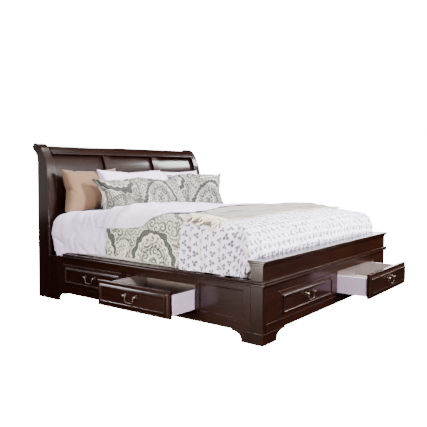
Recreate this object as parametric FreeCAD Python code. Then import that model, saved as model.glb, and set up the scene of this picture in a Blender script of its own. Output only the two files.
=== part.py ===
import FreeCAD, Part
import math
import os

# Sleigh bed with storage drawers, in millimetres.
# The origin is on the floor under the middle of the bed. +Z is up, +Y runs from the
# footboard to the headboard, and +X is the sleeper's right side seen from the footboard.
# The bed is stored with one left drawer and one footboard drawer pulled out.

# ---- driving dimensions ----
HALF_WIDTH = 1045.0          # bed centreline to the outer face of a side rail
FOOT_Y = -1180.0             # outer face of the footboard
HEAD_FRONT_Y = 1010.0        # front face of the head posts and headboard frame
HEAD_REAR_FLOOR_Y = 1182.0   # rear of the head posts at the floor
HEAD_POST_WIDTH = 90.0
SWEEP_START_Z = 1020.0       # where the headboard starts to lean back
SWEEP_RADIUS = 500.0
SWEEP_ANGLE = 36.0           # degrees that the headboard leans back below its scroll
SCROLL_TOP_Z = 1357.0
SCROLL_RADIUS = 35.5
NECK_RADIUS = 100.0
NECK_ANGLE = 60.0
BEAD_CENTRE_Z = 1268.0       # the bead between the panels and the crest rail
BEAD_RADIUS = 8.0

BOARD = 22.0                 # thickness of the rails and frame boards
FOOT_THICKNESS = 96.0        # depth of the footboard box
FOOT_POST_WIDTH = 32.0
CAP_TOP_Z = 548.0
CAP_THICKNESS = 19.0
CAP_OVERHANG = 20.0
WAIST_BOTTOM_Z = 384.0
WAIST_TOP_Z = 416.0
WAIST_OVERHANG = 20.0
RAIL_BOTTOM_Z = 76.0
OPENING_BOTTOM_Z = 136.0
OPENING_TOP_Z = 326.0

SIDE_OPENING_WIDTH = 710.0
SIDE_OPENING_STARTS = (-630.0, 108.0)    # Y where each side opening begins
FOOT_OPENING_INNER_X = 45.0
FOOT_OPENING_OUTER_X = 850.0
PULL_OUT = 260.0             # how far the two open drawers stand out

MATTRESS_HALF_WIDTH = 975.0
MATTRESS_Y = (-1050.0, 962.0)
MATTRESS_BOTTOM_Z = 376.0
MATTRESS_TOP_Z = 715.0

nodes = {}


# ---- helpers ----
def vec(x, y, z):
    return FreeCAD.Vector(x, y, z)


def block(x_range, y_range, z_range):
    x0, x1 = sorted(x_range)
    y0, y1 = sorted(y_range)
    z0, z1 = sorted(z_range)
    return Part.makeBox(x1 - x0, y1 - y0, z1 - z0, vec(x0, y0, z0))


def mirrored(shape):
    return shape.mirror(vec(0, 0, 0), vec(1, 0, 0))


def joined(shapes):
    return shapes[0].fuse(shapes[1:]).removeSplitter()


def group(shapes):
    return Part.Compound(shapes)


def arc_points(centre, radius, start, end, steps):
    """Points along an arc, in degrees, as (first, second) coordinates."""
    points = []
    for i in range(steps + 1):
        angle = math.radians(start + (end - start) * i / steps)
        points.append((centre[0] + radius * math.cos(angle), centre[1] + radius * math.sin(angle)))
    return points


def plate_in_yz(points, x_range):
    """A flat outline in the YZ plane, given thickness along X."""
    x0, x1 = sorted(x_range)
    wire = Part.makePolygon([vec(x0, y, z) for y, z in points + points[:1]])
    return Part.Face(wire).extrude(vec(x1 - x0, 0, 0))


def plate_in_xz(points, y_range):
    y0, y1 = sorted(y_range)
    wire = Part.makePolygon([vec(x, y0, z) for x, z in points + points[:1]])
    return Part.Face(wire).extrude(vec(0, y1 - y0, 0))


def plate_in_xy(points, z_range):
    z0, z1 = sorted(z_range)
    wire = Part.makePolygon([vec(x, y, z0) for x, y in points + points[:1]])
    return Part.Face(wire).extrude(vec(0, 0, z1 - z0))


def softened(shape, radius, keep):
    """Round the edges that the test keep(edge) picks."""
    edges = [edge for edge in shape.Edges if keep(edge)]
    return shape.makeFillet(radius, edges)


def along(edge, axis):
    start, end = edge.Vertexes[0].Point, edge.Vertexes[-1].Point
    direction = (end - start).normalize()
    return abs(getattr(direction, axis)) > 0.999


def touches(edge, axis, value):
    return all(abs(getattr(v.Point, axis) - value) < 0.01 for v in edge.Vertexes)


def mitred_solid(rings):
    """A solid skinned over a series of four-cornered rings, closed at both ends."""
    faces = []
    for ring, following in zip(rings, rings[1:]):
        for i in range(4):
            j = (i + 1) % 4
            corners = [ring[i], ring[j], following[j], following[i]]
            faces.append(Part.Face(Part.makePolygon(corners + corners[:1])))
    for ring in (rings[0], rings[-1]):
        faces.append(Part.Face(Part.makePolygon(ring + ring[:1])))
    solid = Part.Solid(Part.Shell(faces))
    solid.fix(0.001, 0.001, 0.001)
    return solid


def raised_panel(width, z_range, profile):
    """A panel facing -Y whose mitred edge follows profile, a list of (inset, y)."""
    rings = []
    for inset, y in profile:
        x = width / 2 - inset
        low, high = z_range[0] + inset, z_range[1] - inset
        rings.append([vec(-x, y, low), vec(x, y, low), vec(x, y, high), vec(-x, y, high)])
    return mitred_solid(rings)


# ---- headboard ----
def sweep_point(setback, angle):
    """A point on the leaning front curve, set back from the post face."""
    turn = math.radians(angle)
    radius = SWEEP_RADIUS - setback
    centre_y = HEAD_FRONT_Y + SWEEP_RADIUS
    return centre_y - radius * math.cos(turn), SWEEP_START_Z + radius * math.sin(turn)


def swept_board(x_range, front_setback, back_setback, z_low, end_angle):
    """A board with the headboard's curve, from z_low to the bead; end_angle is past the bead."""
    x0, x1 = sorted(x_range)

    def at(setback, angle):
        y, z = sweep_point(setback, angle)
        return vec(x0, y, z)

    front_low = vec(x0, HEAD_FRONT_Y + front_setback, z_low)
    back_low = vec(x0, HEAD_FRONT_Y + back_setback, z_low)
    half = end_angle / 2
    front_arc = Part.Arc(at(front_setback, 0), at(front_setback, half), at(front_setback, end_angle))
    back_arc = Part.Arc(at(back_setback, end_angle), at(back_setback, half), at(back_setback, 0))
    edges = [
        Part.makeLine(front_low, at(front_setback, 0)),
        front_arc.toShape(),
        Part.makeLine(at(front_setback, end_angle), at(back_setback, end_angle)),
        back_arc.toShape(),
        Part.makeLine(at(back_setback, 0), back_low),
        Part.makeLine(back_low, front_low),
    ]
    board = Part.Face(Part.Wire(edges)).extrude(vec(x1 - x0, 0, 0))
    trim_top = BEAD_CENTRE_Z - BEAD_RADIUS - 0.4
    board_y = (HEAD_FRONT_Y, HEAD_FRONT_Y + 300.0)
    above_bead = block((x0 - 1.0, x1 + 1.0), board_y, (trim_top, trim_top + 100.0))
    return board.cut(above_bead)


def scrolled_outline(x, setback):
    """The head post's side view at one X, drawn in by setback all round."""
    lean = math.radians(SWEEP_ANGLE)
    sweep_radius = SWEEP_RADIUS - setback
    sweep_centre = (HEAD_FRONT_Y + SWEEP_RADIUS, SWEEP_START_Z)
    lean_y = sweep_centre[0] - sweep_radius * math.cos(lean)
    lean_z = sweep_centre[1] + sweep_radius * math.sin(lean)
    # The shoulder arc turns from the lean to level and ends at the top of the scroll.
    shoulder_radius = (SCROLL_TOP_Z - setback - lean_z) / (1 - math.sin(lean))
    top_y = lean_y + shoulder_radius * math.cos(lean)
    shoulder_mid = math.radians((90 - SWEEP_ANGLE) / 2 + 90)
    shoulder_centre_z = SCROLL_TOP_Z - setback - shoulder_radius
    scroll_radius = SCROLL_RADIUS - setback
    scroll_centre = (top_y, SCROLL_TOP_Z - SCROLL_RADIUS)
    tuck = math.radians(-NECK_ANGLE)
    tuck_y = scroll_centre[0] + scroll_radius * math.cos(tuck)
    tuck_z = scroll_centre[1] + scroll_radius * math.sin(tuck)
    neck_radius = NECK_RADIUS + setback
    neck_y = tuck_y - neck_radius * (1 - math.cos(math.radians(NECK_ANGLE)))
    neck_z = tuck_z - neck_radius * math.sin(math.radians(NECK_ANGLE))
    neck_centre_y = neck_y + neck_radius
    neck_mid = math.radians(180 - NECK_ANGLE / 2)

    def at(y, z):
        return vec(x, y, z)

    half_lean = lean / 2
    shoulder_middle = at(
        top_y + shoulder_radius * math.cos(shoulder_mid),
        shoulder_centre_z + shoulder_radius * math.sin(shoulder_mid),
    )
    sweep_middle = at(
        sweep_centre[0] - sweep_radius * math.cos(half_lean),
        sweep_centre[1] + sweep_radius * math.sin(half_lean),
    )
    scroll_middle = at(
        scroll_centre[0] + scroll_radius * math.cos(math.radians(15)),
        scroll_centre[1] + scroll_radius * math.sin(math.radians(15)),
    )
    neck_middle = at(
        neck_centre_y + neck_radius * math.cos(neck_mid),
        neck_z + neck_radius * math.sin(math.pi - neck_mid),
    )
    front = HEAD_FRONT_Y + setback
    floor_rear = at(HEAD_REAR_FLOOR_Y - setback, 0)
    edges = [
        Part.makeLine(at(front, 0), at(front, SWEEP_START_Z)),
        Part.Arc(at(front, SWEEP_START_Z), sweep_middle, at(lean_y, lean_z)).toShape(),
        Part.Arc(at(lean_y, lean_z), shoulder_middle, at(top_y, SCROLL_TOP_Z - setback)).toShape(),
        Part.Arc(at(top_y, SCROLL_TOP_Z - setback), scroll_middle, at(tuck_y, tuck_z)).toShape(),
        Part.Arc(at(tuck_y, tuck_z), neck_middle, at(neck_y, neck_z)).toShape(),
        Part.makeLine(at(neck_y, neck_z), floor_rear),
        Part.makeLine(floor_rear, at(front, 0)),
    ]
    return Part.Wire(edges)


def head_post():
    """The left post: a core with narrower shoulders, so its edges are stepped."""
    outer = -HALF_WIDTH
    inner = outer + HEAD_POST_WIDTH
    step = 5.0
    core = Part.Face(scrolled_outline(outer + step, 0)).extrude(vec(HEAD_POST_WIDTH - 2 * step, 0, 0))
    outside = Part.Face(scrolled_outline(outer, step)).extrude(vec(step, 0, 0))
    inside = Part.Face(scrolled_outline(inner - step, step)).extrude(vec(step, 0, 0))
    boss_radius = 17.0
    boss_height = 4.0
    boss_centre = (1190.0, SCROLL_TOP_Z - SCROLL_RADIUS)
    boss = Part.makeCylinder(boss_radius, boss_height, vec(outer - boss_height, *boss_centre), vec(1, 0, 0))
    return joined([core, outside, inside, boss])


def crest_rail():
    """The long roll between the posts, a little lower than their scrolls."""
    x0 = -HALF_WIDTH + HEAD_POST_WIDTH
    roll_radius = 33.0
    roll_centre = (1182.0, 1309.0)
    bottom_z = 1276.0
    face_low = (1071.0, bottom_z)
    face_middle = (1088.0, 1303.0)
    face_high = (1118.0, 1328.0)
    back_low = (1140.0, bottom_z)
    neck = (1158.0, 1284.0)

    def at(point):
        return vec(x0, point[0], point[1])

    top = (roll_centre[0], roll_centre[1] + roll_radius)
    rear = (roll_centre[0] + roll_radius, roll_centre[1])
    under = (roll_centre[0], roll_centre[1] - roll_radius)
    rise = (1148.0, 1338.0)
    edges = [
        Part.Arc(at(face_low), at(face_middle), at(face_high)).toShape(),
        Part.Arc(at(face_high), at(rise), at(top)).toShape(),
        Part.Arc(at(top), at(rear), at(under)).toShape(),
        Part.Arc(at(under), at(neck), at(back_low)).toShape(),
        Part.makeLine(at(back_low), at(face_low)),
    ]
    length = 2 * (HALF_WIDTH - HEAD_POST_WIDTH)
    return Part.Face(Part.Wire(edges)).extrude(vec(length, 0, 0))


def crest_bead():
    """A half-round bead that runs under the crest rail."""
    x0 = -HALF_WIDTH + HEAD_POST_WIDTH
    length = 2 * (HALF_WIDTH - HEAD_POST_WIDTH)
    nose_y = 1066.0
    back_y = 1132.0
    profile = [(back_y, BEAD_CENTRE_Z - BEAD_RADIUS), (back_y, BEAD_CENTRE_Z + BEAD_RADIUS)]
    profile += arc_points((nose_y, BEAD_CENTRE_Z), BEAD_RADIUS, 90, 270, 8)
    return plate_in_yz(profile, (x0, x0 + length))


INNER_X = HALF_WIDTH - HEAD_POST_WIDTH
STILE_WIDTH = 80.0
STILE_CENTRE_X = 332.0
PANEL_TOP_ANGLE = 33.0       # how far the panels' curve runs before it is trimmed at the bead
HEAD_RAIL_TOP_Z = 480.0
HEAD_RAIL_BOTTOM_Z = 300.0
PANEL_SETBACK = 34.0
PANEL_THICKNESS = 14.0


def headboard():
    post = head_post()
    nodes["left_head_post"] = post
    nodes["right_head_post"] = mirrored(post)
    nodes["crest_rail"] = crest_rail()
    nodes["crest_bead"] = crest_bead()
    frame_back = PANEL_SETBACK + PANEL_THICKNESS
    nodes["headboard_bottom_rail"] = block(
        (-INNER_X, INNER_X),
        (HEAD_FRONT_Y + 4.0, HEAD_FRONT_Y + frame_back),
        (HEAD_RAIL_BOTTOM_Z, HEAD_RAIL_TOP_Z),
    )
    stile_edges = [-STILE_CENTRE_X, STILE_CENTRE_X]
    stiles = []
    for centre in stile_edges:
        span = (centre - STILE_WIDTH / 2, centre + STILE_WIDTH / 2)
        stiles.append(swept_board(span, 4.0, frame_back, HEAD_RAIL_TOP_Z, PANEL_TOP_ANGLE))
    nodes["headboard_stiles"] = group(stiles)
    inner_edge = STILE_CENTRE_X - STILE_WIDTH / 2
    outer_edge = STILE_CENTRE_X + STILE_WIDTH / 2
    bays = [(-INNER_X, -outer_edge), (-inner_edge, inner_edge), (outer_edge, INNER_X)]
    panels = [
        swept_board(bay, PANEL_SETBACK, frame_back, HEAD_RAIL_TOP_Z, PANEL_TOP_ANGLE) for bay in bays
    ]
    nodes["headboard_panels"] = group(panels)


# ---- footboard ----
FOOT_BACK_Y = FOOT_Y + FOOT_THICKNESS
POST_INNER_X = HALF_WIDTH - FOOT_POST_WIDTH


def rounded_slab(x_half, y_range, z_range, radius):
    """A horizontal board with rounded outer edges on its two ends and both long sides."""
    slab = block((-x_half, x_half), y_range, z_range)
    return softened(slab, radius, lambda e: not along(e, "z"))


def footboard():
    cap_bottom = CAP_TOP_Z - CAP_THICKNESS
    under_cap = 14.0             # height of the smaller moulding under the cap
    panel_top = cap_bottom - under_cap
    post = block((-HALF_WIDTH, -POST_INNER_X), (FOOT_Y, FOOT_BACK_Y), (RAIL_BOTTOM_Z, panel_top))
    post = softened(post, 3.0, lambda e: along(e, "z"))
    nodes["left_foot_post"] = post
    nodes["right_foot_post"] = mirrored(post)
    cap = rounded_slab(
        HALF_WIDTH + CAP_OVERHANG, (FOOT_Y - CAP_OVERHANG, FOOT_BACK_Y + 12.0), (cap_bottom, CAP_TOP_Z), 7.0
    )
    under = rounded_slab(
        HALF_WIDTH + 9.0, (FOOT_Y - 9.0, FOOT_BACK_Y + 6.0), (panel_top, cap_bottom + 6.0), 4.0
    )
    nodes["footboard_cap"] = joined([cap, under])
    width = (-POST_INNER_X, POST_INNER_X)
    front = block(width, (FOOT_Y + 5.0, FOOT_Y + 5.0 + BOARD), (WAIST_BOTTOM_Z, panel_top))
    back = block(width, (FOOT_BACK_Y - 20.0, FOOT_BACK_Y - 2.0), (OPENING_TOP_Z + 14.0, panel_top))
    nodes["footboard_panels"] = group([front, back])
    frame_y = (FOOT_Y, FOOT_Y + BOARD)
    nodes["footboard_top_rail"] = block(width, frame_y, (OPENING_TOP_Z, WAIST_BOTTOM_Z))
    plinth_face_y = FOOT_Y - 4.0
    plinth = block(width, (plinth_face_y, FOOT_Y + BOARD), (RAIL_BOTTOM_Z, OPENING_BOTTOM_Z))
    nodes["footboard_plinth"] = softened(
        plinth,
        4.0,
        lambda e: along(e, "x") and touches(e, "z", OPENING_BOTTOM_Z) and touches(e, "y", plinth_face_y),
    )
    stile_spans = [
        (-POST_INNER_X, -FOOT_OPENING_OUTER_X),
        (-FOOT_OPENING_INNER_X, FOOT_OPENING_INNER_X),
        (FOOT_OPENING_OUTER_X, POST_INNER_X),
    ]
    nodes["footboard_stiles"] = group(
        [block(span, frame_y, (OPENING_BOTTOM_Z, OPENING_TOP_Z)) for span in stile_spans]
    )


def waist_mouldings():
    """Two beads one above the other, mitred round the footboard and along both rails."""
    bead = (WAIST_TOP_Z - WAIST_BOTTOM_Z - 2.0) / 4
    profile = [(0.0, WAIST_BOTTOM_Z)]
    for centre_z in (WAIST_BOTTOM_Z + bead, WAIST_TOP_Z - bead):
        profile += arc_points((WAIST_OVERHANG - bead, centre_z), bead, -90, 90, 8)
    profile.append((0.0, WAIST_TOP_Z))
    rail_end_y = 810.0
    rings = []
    for overhang, z in profile:
        x = HALF_WIDTH + overhang
        y = FOOT_Y - overhang
        far_y = rail_end_y + 100.0 + overhang
        rings.append([vec(-x, y, z), vec(x, y, z), vec(x, far_y, z), vec(-x, far_y, z)])
    solid = mitred_solid(rings)
    z_all = (WAIST_BOTTOM_Z - 10.0, WAIST_TOP_Z + 10.0)
    rail_inner_x = HALF_WIDTH - BOARD
    solid = solid.cut(block((-HALF_WIDTH, HALF_WIDTH), (FOOT_Y, FOOT_BACK_Y), z_all))
    solid = solid.cut(block((-rail_inner_x, rail_inner_x), (FOOT_BACK_Y - 1.0, rail_end_y + 1.0), z_all))
    reach = WAIST_OVERHANG + 20.0
    all_x = (-HALF_WIDTH - reach, HALF_WIDTH + reach)
    solid = solid.cut(block(all_x, (rail_end_y, rail_end_y + 100.0 + reach), z_all))
    mitre = [
        (-HALF_WIDTH - reach, FOOT_Y - reach),
        (HALF_WIDTH + reach, FOOT_Y - reach),
        (HALF_WIDTH, FOOT_Y),
        (-HALF_WIDTH, FOOT_Y),
    ]
    front_space = plate_in_xy(mitre, z_all)
    front = solid.common(front_space)
    sides = solid.cut(front_space)
    nodes["waist_mouldings"] = group(front.Solids + sides.Solids)


def foot_outline(start, toe, cove_end):
    """One face of a bracket foot: level toe, a cove and a short step, as (run, z)."""
    toe_height = 14.0
    step_z = 66.0
    run = cove_end - toe
    points = [(start, RAIL_BOTTOM_Z), (start, 0.0), (toe, 0.0), (toe, toe_height)]
    cove_steps = 10
    for i in range(1, cove_steps + 1):
        turn = math.radians(90.0 * i / cove_steps)
        points.append((toe + run * (1 - math.cos(turn)), toe_height + (step_z - toe_height) * math.sin(turn)))
    points.append((cove_end, RAIL_BOTTOM_Z))
    return points


def front_feet():
    """Bracket feet under the footboard corners, with a return along each side."""
    thickness = 26.0
    front = plate_in_xz(foot_outline(-HALF_WIDTH, -872.0, -777.0), (FOOT_Y, FOOT_Y + thickness))
    side = plate_in_yz(foot_outline(FOOT_Y, -1014.0, -939.0), (-HALF_WIDTH, -HALF_WIDTH + thickness))
    lip_z = (RAIL_BOTTOM_Z - 9.0, RAIL_BOTTOM_Z)
    front_lip = block((-HALF_WIDTH - 5.0, -777.0), (FOOT_Y - 8.0, FOOT_Y + 5.0), lip_z)
    side_lip = block((-HALF_WIDTH - 5.0, -HALF_WIDTH + 5.0), (FOOT_Y - 8.0, -939.0), lip_z)
    foot = joined([front, side, front_lip, side_lip])
    nodes["front_feet"] = group([foot, mirrored(foot)])


# ---- side rails ----
RAIL_X = (-HALF_WIDTH, -HALF_WIDTH + BOARD)
FIXED_PANEL_Y = (FOOT_BACK_Y, SIDE_OPENING_STARTS[0])
LAST_OPENING_END = SIDE_OPENING_STARTS[1] + SIDE_OPENING_WIDTH


def fixed_side_panel():
    """The board beside the footboard, with a sunk field and a bevel round it."""
    board = block(RAIL_X, FIXED_PANEL_Y, (OPENING_BOTTOM_Z, WAIST_BOTTOM_Z))
    field_y = (-1038.0, -663.0)
    field_z = (150.0, 343.0)
    depth = 8.0
    bevel = 7.0
    rings = []
    for inset, x in ((0.0, -HALF_WIDTH - 1.0), (0.0, -HALF_WIDTH + 2.0), (bevel, -HALF_WIDTH + depth)):
        y0, y1 = field_y[0] + inset, field_y[1] - inset
        z0, z1 = field_z[0] + inset, field_z[1] - inset
        rings.append([vec(x, y0, z0), vec(x, y1, z0), vec(x, y1, z1), vec(x, y0, z1)])
    return board.cut(mitred_solid(rings))


def head_stile():
    """The rail's head end: it runs down to the floor as a bracket foot."""
    top = WAIST_BOTTOM_Z
    toe_y = 901.0
    cove_end_y = 800.0
    outline = foot_outline(HEAD_FRONT_Y - 0.5, toe_y, cove_end_y)[1:]
    outline += [(LAST_OPENING_END, RAIL_BOTTOM_Z), (LAST_OPENING_END, top), (HEAD_FRONT_Y - 0.5, top)]
    board = plate_in_yz(outline, RAIL_X)
    screw_cap = Part.makeCylinder(7.0, 3.0, vec(-HALF_WIDTH - 3.0, 949.0, 350.0), vec(1, 0, 0))
    return joined([board, screw_cap])


def side_rails():
    top_rail = block(RAIL_X, (SIDE_OPENING_STARTS[0], LAST_OPENING_END), (OPENING_TOP_Z, WAIST_BOTTOM_Z))
    bottom_rail = block(RAIL_X, (FOOT_BACK_Y, LAST_OPENING_END), (RAIL_BOTTOM_Z, OPENING_BOTTOM_Z))
    middle_y = (SIDE_OPENING_STARTS[0] + SIDE_OPENING_WIDTH, SIDE_OPENING_STARTS[1])
    middle = block(RAIL_X, middle_y, (OPENING_BOTTOM_Z, OPENING_TOP_Z))
    stile = head_stile()
    for side, place in (("left", lambda s: s), ("right", mirrored)):
        nodes[side + "_top_rail"] = place(top_rail)
        nodes[side + "_bottom_rail"] = place(bottom_rail)
        nodes[side + "_side_panel"] = place(fixed_side_panel())
        nodes[side + "_rail_stiles"] = group([place(middle), place(stile)])


# ---- mattress support and drawer cases ----
CASE_Z = (90.0, 340.0)
CASE_BOARD = 18.0
SIDE_BOX_DEPTH = 480.0
FOOT_BOX_DEPTH = 440.0
SLIDE_GAP = 13.0             # space for a runner between a drawer box and its case
RUNNER_THICKNESS = 12.4
RUNNER_Z = (196.0, 236.0)
SLAT_TOP_Z = MATTRESS_BOTTOM_Z
SLAT_THICKNESS = 18.0


def platform_frame():
    """Ledgers on both rails, and a middle beam that stands on three legs."""
    ledger_z = (340.5, SLAT_TOP_Z - SLAT_THICKNESS)
    ledger_x = (-HALF_WIDTH + BOARD, -HALF_WIDTH + BOARD + 24.0)
    ledger = block(ledger_x, (FOOT_BACK_Y, HEAD_FRONT_Y - 5.0), ledger_z)
    beam_bottom = 280.0
    beam = block((-22.0, 22.0), (-640.0, HEAD_FRONT_Y + 4.0), (beam_bottom, SLAT_TOP_Z - SLAT_THICKNESS))
    legs = []
    for leg_y in (-560.0, 0.0, 620.0):
        leg = block((-22.0, 22.0), (leg_y - 22.0, leg_y + 22.0), (8.0, beam_bottom))
        glide = Part.makeCylinder(16.0, 8.0, vec(0, leg_y, 0))
        legs.append(joined([leg, glide]))
    nodes["platform_frame"] = group([ledger, mirrored(ledger), beam] + legs)


def slats():
    slat_width = 70.0
    count = 14
    first = FOOT_BACK_Y + 20.0
    last = HEAD_FRONT_Y - 80.0
    half = HALF_WIDTH - BOARD
    boards = []
    for i in range(count):
        y = first + (last - first - slat_width) * i / (count - 1)
        boards.append(block((-half, half), (y, y + slat_width), (SLAT_TOP_Z - SLAT_THICKNESS, SLAT_TOP_Z)))
    nodes["slats"] = group(boards)


def drawer_case():
    """Dividers beside every drawer, and a runner on each divider."""
    panels = []
    runners = []
    outer_x = -HALF_WIDTH + BOARD
    inner_x = outer_x + SIDE_BOX_DEPTH + 14.0
    runner_x = (outer_x + 16.0, outer_x + SIDE_BOX_DEPTH - 20.0)
    for side in (1, -1):
        foot_face = SIDE_OPENING_STARTS[0]
        head_face = LAST_OPENING_END
        middle_y = (SIDE_OPENING_STARTS[0] + SIDE_OPENING_WIDTH, SIDE_OPENING_STARTS[1])
        x_span = (side * outer_x, side * inner_x)
        panels.append(block(x_span, (foot_face - CASE_BOARD, foot_face), CASE_Z))
        panels.append(block(x_span, middle_y, CASE_Z))
        panels.append(block(x_span, (head_face, head_face + CASE_BOARD), CASE_Z))
        back_x = (side * inner_x, side * (inner_x + CASE_BOARD))
        panels.append(block(back_x, (foot_face - CASE_BOARD, head_face + CASE_BOARD), CASE_Z))
        for start in SIDE_OPENING_STARTS:
            end = start + SIDE_OPENING_WIDTH
            x_run = (side * runner_x[0], side * runner_x[1])
            runners.append(block(x_run, (start, start + RUNNER_THICKNESS), RUNNER_Z))
            runners.append(block(x_run, (end - RUNNER_THICKNESS, end), RUNNER_Z))
    case_y = (FOOT_Y + BOARD, FOOT_Y + BOARD + FOOT_BOX_DEPTH + 10.0)
    runner_y = (case_y[0] + 16.0, case_y[1] - 30.0)
    for side in (1, -1):
        inner, outer = side * FOOT_OPENING_INNER_X, side * FOOT_OPENING_OUTER_X
        panels.append(block((inner - side * CASE_BOARD, inner), case_y, CASE_Z))
        panels.append(block((outer, outer + side * CASE_BOARD), case_y, CASE_Z))
        runners.append(block((inner, inner + side * RUNNER_THICKNESS), runner_y, RUNNER_Z))
        runners.append(block((outer, outer - side * RUNNER_THICKNESS), runner_y, RUNNER_Z))
    nodes["drawer_case_panels"] = group(panels)
    nodes["drawer_runners"] = group(runners)


# ---- drawers ----
FRONT_GAP = 2.0
FRONT_THICKNESS = 19.0
BOX_BOTTOM_Z = 153.0
BOX_TOP_Z = 292.0
BOX_WALL = 12.0
BOX_FLOOR = 6.0
FIELD_Y = -12.0              # the sunk field of a drawer front, proud of the rail face
BEAD_Y = -19.0
HANDLE_HALF_SPACING = 56.0
HANDLE_Z = 251.0
PIVOT_Y = FIELD_Y - 21.0     # the bail's hinge line
BAIL_DROP = 46.0


def front_profile():
    """(inset, y) from the back of the board, over its lip, cove and bead, to the field."""
    lip_y = -3.0
    profile = [(0.0, FRONT_THICKNESS), (0.0, 0.0)]
    profile += [(3.0, lip_y), (14.0, lip_y)]
    cove = 18.0
    cove_depth = 12.0
    for i in range(1, 6):
        turn = math.radians(90.0 * i / 6)
        profile.append((14.0 + cove * math.sin(turn), lip_y - cove_depth * (1 - math.cos(turn))))
    profile += arc_points((38.0, BEAD_Y + 5.0), 5.0, 180, 360, 8)
    profile.append((46.0, FIELD_Y - 1.5))
    profile.append((50.0, FIELD_Y))
    return profile


def drawer_front(opening_width):
    z_range = (OPENING_BOTTOM_Z + FRONT_GAP, OPENING_TOP_Z - FRONT_GAP)
    return raised_panel(opening_width - 2 * FRONT_GAP, z_range, front_profile())


def drawer_box(opening_width, depth):
    """An open tray: two sides and a back joined round a thin floor."""
    half = opening_width / 2 - SLIDE_GAP
    y_range = (FRONT_THICKNESS, FRONT_THICKNESS + depth)
    outside = block((-half, half), y_range, (BOX_BOTTOM_Z, BOX_TOP_Z))
    inside = block(
        (-half + BOX_WALL, half - BOX_WALL),
        (FRONT_THICKNESS + BOX_WALL, FRONT_THICKNESS + depth - BOX_WALL),
        (BOX_BOTTOM_Z + BOX_FLOOR + 6.0, BOX_TOP_Z + 10.0),
    )
    under = block(
        (-half + BOX_WALL, half - BOX_WALL),
        (FRONT_THICKNESS + BOX_WALL, FRONT_THICKNESS + depth - BOX_WALL),
        (BOX_BOTTOM_Z - 10.0, BOX_BOTTOM_Z + 6.0),
    )
    return outside.cut(inside).cut(under)


def handle_posts():
    """Two posts on round rosettes, drilled across for the bail's ends."""
    posts = []
    for x in (-HANDLE_HALF_SPACING, HANDLE_HALF_SPACING):
        rosette = Part.makeCylinder(12.5, 3.0, vec(x, FIELD_Y, HANDLE_Z), vec(0, -1, 0))
        collar = Part.makeCylinder(8.0, 5.0, vec(x, FIELD_Y, HANDLE_Z), vec(0, -1, 0))
        stem = Part.makeCylinder(4.5, 20.0, vec(x, FIELD_Y, HANDLE_Z), vec(0, -1, 0))
        knob = Part.makeSphere(8.0, vec(x, PIVOT_Y, HANDLE_Z))
        post = joined([rosette, collar, stem, knob])
        hole = Part.makeCylinder(2.56, 40.0, vec(x - 20.0, PIVOT_Y, HANDLE_Z), vec(1, 0, 0))
        posts.append(post.cut(hole))
    return group(posts)


def bail():
    """A U of round rod whose turned-in ends are pins in the posts."""
    pin_radius = 2.5
    rod_radius = 3.0
    elbow = 6.0
    corner = 17.0
    elbow_x = HANDLE_HALF_SPACING - 10.0
    arm_x = elbow_x - elbow
    bottom_z = HANDLE_Z - BAIL_DROP
    slant = math.sqrt(0.5)

    def at(x, z):
        return vec(x, PIVOT_Y, z)

    def half_path(side):
        return [
            Part.Arc(
                at(side * elbow_x, HANDLE_Z),
                at(side * (arm_x + elbow * (1 - slant)), HANDLE_Z - elbow * (1 - slant)),
                at(side * arm_x, HANDLE_Z - elbow),
            ).toShape(),
            Part.makeLine(at(side * arm_x, HANDLE_Z - elbow), at(side * arm_x, bottom_z + corner)),
            Part.Arc(
                at(side * arm_x, bottom_z + corner),
                at(side * (arm_x - corner * (1 - slant)), bottom_z + corner * (1 - slant)),
                at(side * (arm_x - corner), bottom_z),
            ).toShape(),
        ]

    left = half_path(-1)
    bottom = Part.makeLine(at(-arm_x + corner, bottom_z), at(arm_x - corner, bottom_z))
    right = half_path(1)
    path = Part.Wire(left + [bottom] + right[::-1])
    section = Part.Wire(Part.makeCircle(rod_radius, at(-elbow_x, HANDLE_Z), vec(1, 0, 0)))
    rod = path.makePipeShell([section], True, True)
    pins = []
    for side in (-1, 1):
        tip = HANDLE_HALF_SPACING + 6.0
        start = vec(side * elbow_x, PIVOT_Y, HANDLE_Z)
        pins.append(Part.makeCylinder(pin_radius, tip - elbow_x, start, vec(side, 0, 0)))
    return joined([rod] + pins)


def place_drawer(name, face_point, turn, opening_width, depth, pulled):
    """Build a drawer facing -Y, pull it out, turn it about Z and move it to its opening."""
    pieces = {
        "front": drawer_front(opening_width),
        "box": drawer_box(opening_width, depth),
        "handle_posts": handle_posts(),
        "bail": bail(),
    }
    for piece, shape in pieces.items():
        shape = shape.copy()
        shape.translate(vec(0, -pulled, 0))
        shape.rotate(vec(0, 0, 0), vec(0, 0, 1), turn)
        shape.translate(vec(face_point[0], face_point[1], 0))
        nodes[name + "_" + piece] = shape


def drawers():
    side_centres = [start + SIDE_OPENING_WIDTH / 2 for start in SIDE_OPENING_STARTS]
    foot_width = FOOT_OPENING_OUTER_X - FOOT_OPENING_INNER_X
    foot_centre = (FOOT_OPENING_OUTER_X + FOOT_OPENING_INNER_X) / 2
    side = (SIDE_OPENING_WIDTH, SIDE_BOX_DEPTH)
    foot = (foot_width, FOOT_BOX_DEPTH)
    place_drawer("left_foot_end", (-HALF_WIDTH, side_centres[0]), -90, *side, PULL_OUT)
    place_drawer("left_head_end", (-HALF_WIDTH, side_centres[1]), -90, *side, 0)
    place_drawer("right_foot_end", (HALF_WIDTH, side_centres[0]), 90, *side, 0)
    place_drawer("right_head_end", (HALF_WIDTH, side_centres[1]), 90, *side, 0)
    place_drawer("footboard_left", (-foot_centre, FOOT_Y), 0, *foot, 0)
    place_drawer("footboard_right", (foot_centre, FOOT_Y), 0, *foot, PULL_OUT)


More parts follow.
